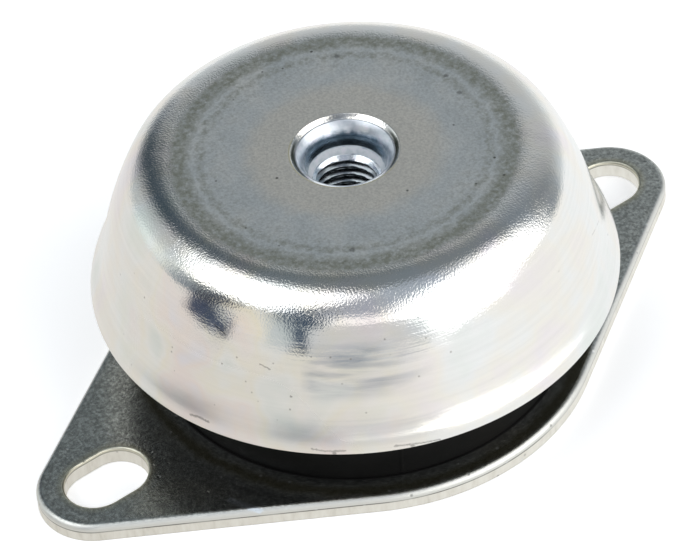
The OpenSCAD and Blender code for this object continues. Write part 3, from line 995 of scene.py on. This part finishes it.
# %% Marks on the cap
# Each mark is a path in mm on the cap, its half width and blur in mm, and how dark it is
CAP_MARKS = (
    (((-37.5, -12.7, 37.8), (-37.1, -15.0, 36.9)), 0.05, 0.20, 0.60),
    (((-35.1, -21.5, 33.6), (-34.3, -23.1, 33.1)), 0.05, 0.20, 0.50),
    (((27.3, -31.9, 31.2), (30.0, -30.0, 30.2), (32.0, -28.1, 29.1)), 0.03, 0.14, 0.35),
    (((-44.0, -12.2, 20.6), (-43.4, -13.9, 20.9), (-42.8, -15.6, 20.7)), 0.02, 0.34, 0.60),
    (((-33.2, -31.5, 20.1), (-31.7, -33.2, 19.8), (-29.2, -35.4, 19.9)), 0.02, 0.26, 0.50),
    (((-22.4, -40.0, 20.0), (-19.0, -41.8, 19.7), (-15.5, -43.3, 19.4)), 0.02, 0.28, 0.50),
    (((-30.6, -34.2, 19.5),), 0.20, 0.60, 0.55),
    (((-19.8, -41.4, 19.5),), 0.20, 0.60, 0.50),
    (((-33.2, -26.8, 28.8),), 0.14, 0.32, 0.60),
    (((-33.8, -27.1, 26.3),), 0.12, 0.28, 0.50),
    (((13.8, 20.2, 45.6),), 0.25, 0.75, 0.60),
    (((24.7, 3.5, 45.6),), 0.25, 0.65, 0.50),
    (((23.7, -1.5, 45.6),), 0.25, 0.65, 0.50),
    (((-23.2, 21.3, 45.2),), 0.20, 0.45, 0.80),
    (((-14.2, -20.4, 45.6),), 0.30, 0.70, 0.50),
)
colour = add(tree, "Mix", {"Factor": top_mask, "A": wall_colour, "B": top_colour}, data_type="RGBA")
marked = shifted(tree, place, 0.35, 0.5)
mark_mask = None
for path, full, none, darkest in CAP_MARKS:
    spot = within(tree, stroke_distance(tree, marked, path), full, none)
    spot = add(tree, "Math", {0: spot, 1: darkest}, operation="MULTIPLY")
    mark_mask = spot if mark_mask is None else add(
        tree, "Math", {0: mark_mask, 1: spot}, operation="MAXIMUM"
    )
colour = add(tree, "Mix", {"Factor": mark_mask, "A": colour, "B": "#5C5B58"}, data_type="RGBA")
print("marks on the cap:", len(CAP_MARKS))

# %% Gap round the insert
# Painted shade darkens the gap beside the swaged lip, and a pale arc on the countersink's outer edge
# is a painted highlight. Each arc has its middle and half width in degrees, its radius, where it is full
# and where it is gone in mm, how dark it is, and its colour. The distance is taken in radius, and the
# ends fade by the cosine of the angle from the middle. A ring made of short strokes would need several
# times as many nodes, and a material should stay small.
GAP_ARCS = (
    (160, 36, 8.90, 0.05, 0.36, 0.90, "#363E37"),
    (160, 22, 8.88, 0.20, 0.52, 0.95, "#2B342E"),
    (-44, 38, 8.90, 0.05, 0.36, 0.90, "#363E37"),
    (-44, 23, 8.88, 0.20, 0.52, 0.95, "#2B342E"),
    (63, 8, 9.02, 0.20, 0.42, 0.60, "#77776F"),
    (210, 88, 9.50, 0.05, 0.22, 0.80, "#D6D0B2"),
)
END_FADE = 6
for middle, half, ring_r, full, none, darkest, shade in GAP_ARCS:
    off_ring = off_by(tree, radius, ring_r * MM)
    turn = np.radians(middle)
    cosine = add(
        tree, "VectorMath", {0: around, 1: (np.cos(turn), np.sin(turn), 0)}, operation="DOT_PRODUCT"
    )
    limits = {
        "From Min": np.cos(np.radians(half + END_FADE)),
        "From Max": np.cos(np.radians(half - END_FADE)),
        "To Max": darkest,
    }
    reach = add(tree, "MapRange", {"Value": cosine.outputs["Value"], **limits})
    spot = add(tree, "Math", {0: within(tree, off_ring, full, none), 1: reach}, operation="MULTIPLY")
    # The dark arcs are painted shade in the gap, and the pale one is a painted highlight on the edge
    colour = add(tree, "Mix", {"Factor": spot, "A": colour, "B": shade}, data_type="RGBA")
print("nodes in the cap's material so far:", len(tree.nodes))

# %% Cap relief and finish
# The grain of the drawn face is about 0.4 mm; waves of 10 mm are the small dents of barrel plating
grain = add(tree, "TexNoise", {"Vector": place, "Scale": 3000.0, "Detail": 2.0})
waves = add(tree, "TexNoise", {"Vector": place, "Scale": 95.0, "Detail": 2.0})
wave_bump = add(tree, "Bump", {"Height": waves, "Distance": 0.00016})
streaked_off = add(tree, "VectorMath", {0: place, 1: (-0.020, -0.034, 0.035)}, operation="DISTANCE")
streaked = within(tree, streaked_off, 8, 20)
line_share = add(tree, "MapRange", {"Value": streaked, "To Min": 0.25, "To Max": 1.0})
line_height = add(tree, "Math", {0: draw_lines, 1: line_share}, operation="MULTIPLY")
line_bump = add(tree, "Bump", {"Height": line_height, "Distance": 0.000035, "Normal": wave_bump})
grain_share = add(
    tree, "MapRange", {"Value": height, "From Min": 0.0395, "From Max": 0.0425, "To Min": 0.22}
)
grain_height = add(tree, "Math", {0: grain, 1: grain_share}, operation="MULTIPLY")
grain_bump = add(tree, "Bump", {"Height": grain_height, "Distance": 0.00005, "Normal": line_bump})
dent_bump = add(tree, "Bump", {"Height": pinholes, "Distance": 0.00003, "Normal": grain_bump}, invert=True)
# The skirt rubs against the die last, so the lower wall is duller than the shoulder
low = add(
    tree,
    "MapRange",
    {"Value": height, "From Min": 0.0385, "From Max": 0.0290},
    interpolation_type="SMOOTHSTEP",
)
dull = add(tree, "MapRange", {"Value": handled, "To Min": 0.11, "To Max": 0.25})
mirror = add(tree, "MapRange", {"Value": streaked, "To Min": 1.0, "To Max": 0.35})
dull = add(tree, "Math", {0: dull, 1: mirror}, operation="MULTIPLY")
dull = add(tree, "Math", {0: dull, 1: low}, operation="MULTIPLY")
patches = add(tree, "MapRange", {"Value": films, "To Min": 0.02, "To Max": 0.14})
mottle = add(tree, "Math", {0: dull, 1: patches}, operation="ADD")
rough = add(tree, "Mix", {"Factor": top_mask, "A": mottle, "B": 0.46}, data_type="FLOAT")
metal = add(
    tree, "BsdfPrincipled", {"Base Color": colour, "Metallic": 1.0, "Roughness": rough, "Normal": dent_bump}
)
put_on(cap, cap_zinc, metal)

# %% [markdown]
# ## Zinc on the flat plate
# The strip under the plating is rolled and fairly smooth, so the flat of the plate is a blurred
# mirror and looks as dark as what it faces. Torn metal is rough, and on it the same zinc looks
# chalky. The mesh carries a value called torn, which is 1 on the land below the rolled edge.
# Oil from the rubber has left a brown ring round its foot, and a bolt has rubbed the slots.
# %% Plate colours
plate_zinc, tree = new_material("zinc plating on blanked strip")
place = add(tree, "TexCoord").outputs["Object"]
torn = add(tree, "Attribute", attribute_name="torn").outputs["Fac"]
rolled = add(tree, "Attribute", attribute_name="rolled").outputs["Fac"]
ragged = from_axis(tree, shifted(tree, place, 3.0, 2.0))
clouds = add(tree, "TexNoise", {"Vector": place, "Scale": 90.0, "Detail": 5.0})
tint = add(
    tree, "ValToRGB", {"Fac": clouds}, stops=[(0.30, "#B3B7B3"), (0.52, "#BFC3BF"), (0.72, "#C6C6BC")]
)
grit = add(tree, "TexNoise", {"Vector": place, "Scale": 1900.0, "Detail": 3.0})
grit_shade = add(
    tree, "MapRange", {"Value": grit, "From Min": 0.36, "From Max": 0.66, "To Min": 0.62, "To Max": 1.30}
)
tint = add(tree, "Mix", {"Factor": 1.0, "A": tint, "B": grit_shade}, data_type="RGBA", blend_type="MULTIPLY")
OIL_RING_R = 39.6
oil = within(tree, off_by(tree, ragged, OIL_RING_R * MM), 0.2, 2.4)
# The rubber stands on the upper face only, so the ring stops there
face = add(tree, "SeparateXYZ", {0: place}).outputs["Z"]
upper_face = add(tree, "MapRange", {"Value": face, "From Min": 0.0024, "From Max": 0.0032})
oil = add(tree, "Math", {0: oil, 1: upper_face}, operation="MULTIPLY")
oiled = add(tree, "Math", {0: oil, 1: 0.85}, operation="MULTIPLY")
tint = add(tree, "Mix", {"Factor": oiled, "A": tint, "B": "#4A4527"}, data_type="RGBA")
film = add(tree, "MapRange", {"Value": oil, "To Min": 1.0, "To Max": 0.88})
# Painted highlight: the rolled edge is coloured lighter than the flat
tint = add(tree, "Mix", {"Factor": rolled, "A": tint, "B": "#DDDDD8"}, data_type="RGBA")
for middle in (-SLOT_X, SLOT_X):
    ends = [(middle - SLOT_HALF, 0, PLATE_T), (middle + SLOT_HALF, 0, PLATE_T)]
    worn = within(tree, stroke_distance(tree, shifted(tree, place, 1.6, 0.8), ends), 5.6, 7.4)
    rubbed = add(tree, "Math", {0: worn, 1: 0.45}, operation="MULTIPLY")
    tint = add(tree, "Mix", {"Factor": rubbed, "A": tint, "B": "#D2CBA8"}, data_type="RGBA")
# Sheared metal has upright streaks, which are drawn about 1 mm wide here
shear = add(tree, "VectorMath", {0: place, 1: (1000, 1000, 260)}, operation="MULTIPLY")
streaks = add(tree, "TexNoise", {"Vector": shear, "Scale": 1.0, "Detail": 3.0})
land = add(
    tree, "ValToRGB", {"Fac": streaks}, stops=[(0.28, "#DCD9CF"), (0.42, "#E6E3DA"), (0.70, "#EEECE4")]
)
colour = add(tree, "Mix", {"Factor": torn, "A": tint, "B": land}, data_type="RGBA")
# Where the roll turns into the land, the metal tore first: torn passes from 0 to 1 there
apart = off_by(tree, torn, 0.5)
tear = add(tree, "MapRange", {"Value": apart, "From Min": 0.46, "From Max": 0.20})
ragged_tear = add(
    tree, "MapRange", {"Value": clouds, "From Min": 0.36, "From Max": 0.56, "To Min": 0.15, "To Max": 0.8}
)
tear_mask = add(tree, "Math", {0: tear, 1: ragged_tear}, operation="MULTIPLY")
colour = add(tree, "Mix", {"Factor": tear_mask, "A": colour, "B": "#55544E"}, data_type="RGBA")

# %% Marks and relief on the plate
speck_mask, picked = dots(tree, place, 700.0, "Y", 0.86, 0.26, 0.10)
speck_tone = add(tree, "MapRange", {"Value": picked.outputs["X"], "From Min": 0.45, "From Max": 0.55})
speck_colour = add(tree, "Mix", {"Factor": speck_tone, "A": "#6B6B66", "B": "#E4E6E6"}, data_type="RGBA")
speck_share = add(tree, "Math", {0: speck_mask, 1: 0.55}, operation="MULTIPLY")
colour = add(tree, "Mix", {"Factor": speck_share, "A": colour, "B": speck_colour}, data_type="RGBA")
scratch_path = (
    (-49.5, 9.7, 3.4),
    (-47.8, 6.1, 3.4),
    (-46.3, 2.2, 3.4),
    (-44.8, -0.1, 3.4),
    (-43.0, -4.5, 3.4),
)
wander = shifted(tree, place, 1.2, 0.9)
scratch = within(tree, stroke_distance(tree, wander, scratch_path), 0.03, 0.20)
broken = add(tree, "MapRange", {"Value": grit, "From Min": 0.42, "From Max": 0.55, "To Min": 0.15})
scratch = add(tree, "Math", {0: scratch, 1: broken}, operation="MULTIPLY")
colour = add(tree, "Mix", {"Factor": scratch, "A": colour, "B": "#D5D8D8"}, data_type="RGBA")
chip_path = ((-42.2, -18.3, 3.2), (-41.0, -21.0, 3.2), (-39.7, -23.5, 3.2))
chip = within(tree, stroke_distance(tree, wander, chip_path), 0.35, 0.8)
colour = add(tree, "Mix", {"Factor": chip, "A": colour, "B": "#E2E9EE"}, data_type="RGBA")
grain = add(tree, "TexNoise", {"Vector": place, "Scale": 2400.0, "Detail": 2.0})
waves = add(tree, "TexNoise", {"Vector": place, "Scale": 120.0, "Detail": 1.0})
wave_bump = add(tree, "Bump", {"Height": waves, "Distance": 0.00008})
grain_bump = add(tree, "Bump", {"Height": grain, "Distance": 0.00003, "Normal": wave_bump})
pit_bump = add(tree, "Bump", {"Height": speck_mask, "Distance": 0.00004, "Normal": grain_bump}, invert=True)
shear_height = add(tree, "Math", {0: streaks, 1: torn}, operation="MULTIPLY")
shear_bump = add(tree, "Bump", {"Height": shear_height, "Distance": 0.00005, "Normal": pit_bump})
coarse = add(tree, "Math", {0: torn, 1: rolled}, operation="MAXIMUM")
rough = add(tree, "MapRange", {"Value": coarse, "To Min": 0.27, "To Max": 0.45})
metal = add(
    tree,
    "BsdfPrincipled",
    {"Base Color": colour, "Metallic": film, "Roughness": rough, "Normal": shear_bump},
)
put_on(plate, plate_zinc, metal)

# %% [markdown]
# ## Zinc on the turned insert and on the washer
# A turning tool leaves fine rings. They are too fine to see one by one here, and what shows is
# a reflection that is drawn out across them. Stretching a noise along the rings gives that. The
# swaged lip was hammered over a punch, so the upper part of the mouth is rougher than the rest.
# %% Insert finish
insert_zinc, tree = new_material("bright zinc plating on turned steel")
place = add(tree, "TexCoord").outputs["Object"]
height = add(tree, "SeparateXYZ", {0: place}).outputs["Z"]
rings = add(tree, "VectorMath", {0: place, 1: (60, 60, 2500)}, operation="MULTIPLY")
tool = add(tree, "TexNoise", {"Vector": rings, "Scale": 1.0, "Detail": 3.0})
mottle = add(tree, "TexNoise", {"Vector": place, "Scale": 900.0, "Detail": 4.0})
shade = add(
    tree, "ValToRGB", {"Fac": mottle}, stops=[(0.35, "#D3DADF"), (0.55, "#E4E8EC"), (0.70, "#EAE8F0")]
)
tool_bump = add(tree, "Bump", {"Height": tool, "Distance": 0.000012})
mottle_bump = add(tree, "Bump", {"Height": mottle, "Distance": 0.00003, "Normal": tool_bump})
# Painted shade: the thread deep in the bore and a bluish band on the trumpet are darkened, and the cone
# between is left white
ragged = add(tree, "Math", {0: mottle, 1: 0.0016, 2: height}, operation="MULTIPLY_ADD")
level = add(tree, "MapRange", {"Value": ragged, "From Min": 0.0380, "From Max": 0.0460})
depth_tint = add(
    tree,
    "ValToRGB",
    {"Fac": level},
    stops=[
        (0.12, "#A3A7A8"),
        (0.18, "#FFFFFF"),
        (0.42, "#FFFFFF"),
        (0.46, "#C6D2D8"),
        (0.58, "#93A5B0"),
        (0.70, "#8C9CA8"),
        (0.80, "#F2F3F5"),
    ],
)
shade = add(
    tree, "Mix", {"Factor": 1.0, "A": shade, "B": depth_tint}, data_type="RGBA", blend_type="MULTIPLY"
)
seat = add(tree, "MapRange", {"Value": height, "From Min": 0.0408, "From Max": 0.0407})
thread_end = add(tree, "MapRange", {"Value": height, "From Min": 0.0393, "From Max": 0.0394})
cone = add(tree, "Math", {0: seat, 1: thread_end}, operation="MULTIPLY")
rough = add(
    tree,
    "MapRange",
    {"Value": height, "From Min": 0.0425, "From Max": 0.0440, "To Min": 0.20, "To Max": 0.36},
)
rough = add(tree, "Math", {0: cone, 1: 0.38, 2: rough}, operation="MULTIPLY_ADD")
# Painted reflection: the cone is white and nearly not metallic, so it shows bright as a lit matt face
chalky = add(tree, "MapRange", {"Value": cone, "To Min": 1.0, "To Max": 0.05})
metal = add(
    tree,
    "BsdfPrincipled",
    {"Base Color": shade, "Metallic": chalky, "Roughness": rough, "Normal": mottle_bump},
)
put_on(insert, insert_zinc, metal)

# %% Washer finish
washer_zinc, tree = new_material("zinc plating on stamped steel")
place = add(tree, "TexCoord").outputs["Object"]
cloud = add(tree, "TexNoise", {"Vector": place, "Scale": 150.0, "Detail": 4.0})
tint = add(tree, "ValToRGB", {"Fac": cloud}, stops=[(0.30, "#B7BAB8"), (0.70, "#D2D4D2")])
pits = add(tree, "Bump", {"Height": cloud, "Distance": 0.00003})
metal = add(
    tree, "BsdfPrincipled", {"Base Color": tint, "Metallic": 1.0, "Roughness": 0.34, "Normal": pits}
)
put_on(washer, washer_zinc, metal)

# %% [markdown]
# ## Moulded natural rubber
# The rubber is filled with carbon black, so it is almost black and takes the mould's satin face.
# It is not metal: its IOR is about 1.5, and a dull sheen comes from a middling roughness.
# %% Rubber finish
black_rubber, tree = new_material("moulded black natural rubber")
place = add(tree, "TexCoord").outputs["Object"]
skin = add(tree, "TexNoise", {"Vector": place, "Scale": 900.0, "Detail": 3.0})
bloom = add(tree, "TexNoise", {"Vector": place, "Scale": 90.0, "Detail": 4.0})
shade = add(tree, "ValToRGB", {"Fac": bloom}, stops=[(0.35, "#070707"), (0.75, "#100F0E")])
rough = add(tree, "MapRange", {"Value": bloom, "To Min": 0.50, "To Max": 0.68})
skin_bump = add(tree, "Bump", {"Height": skin, "Distance": 0.00002})
soft = add(
    tree, "BsdfPrincipled", {"Base Color": shade, "Roughness": rough, "IOR": 1.5, "Normal": skin_bump}
)
soft.inputs["Specular IOR Level"].default_value = 0.16
put_on(rubber, black_rubber, soft)

# %% [markdown]
# ## Putting the pieces on the frame
# Each surface stands for its node of the frame and moves with that node's body. The rubber joins
# the two bodies; here it is attached to neither, and its placing is baked into its mesh.
# %% Ride, replace and finish
for piece, node, body, slot in (
    (cap, "bell_cap", "cap", "cap_zinc"),
    (insert, "threaded_insert", "cap", "insert_zinc"),
    (washer, "rebound_washer", "cap", "washer_zinc"),
    (plate, "base_plate", "base", "plate_zinc"),
):
    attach(piece, body)
    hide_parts(node)
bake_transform(rubber)
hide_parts("rubber_element")
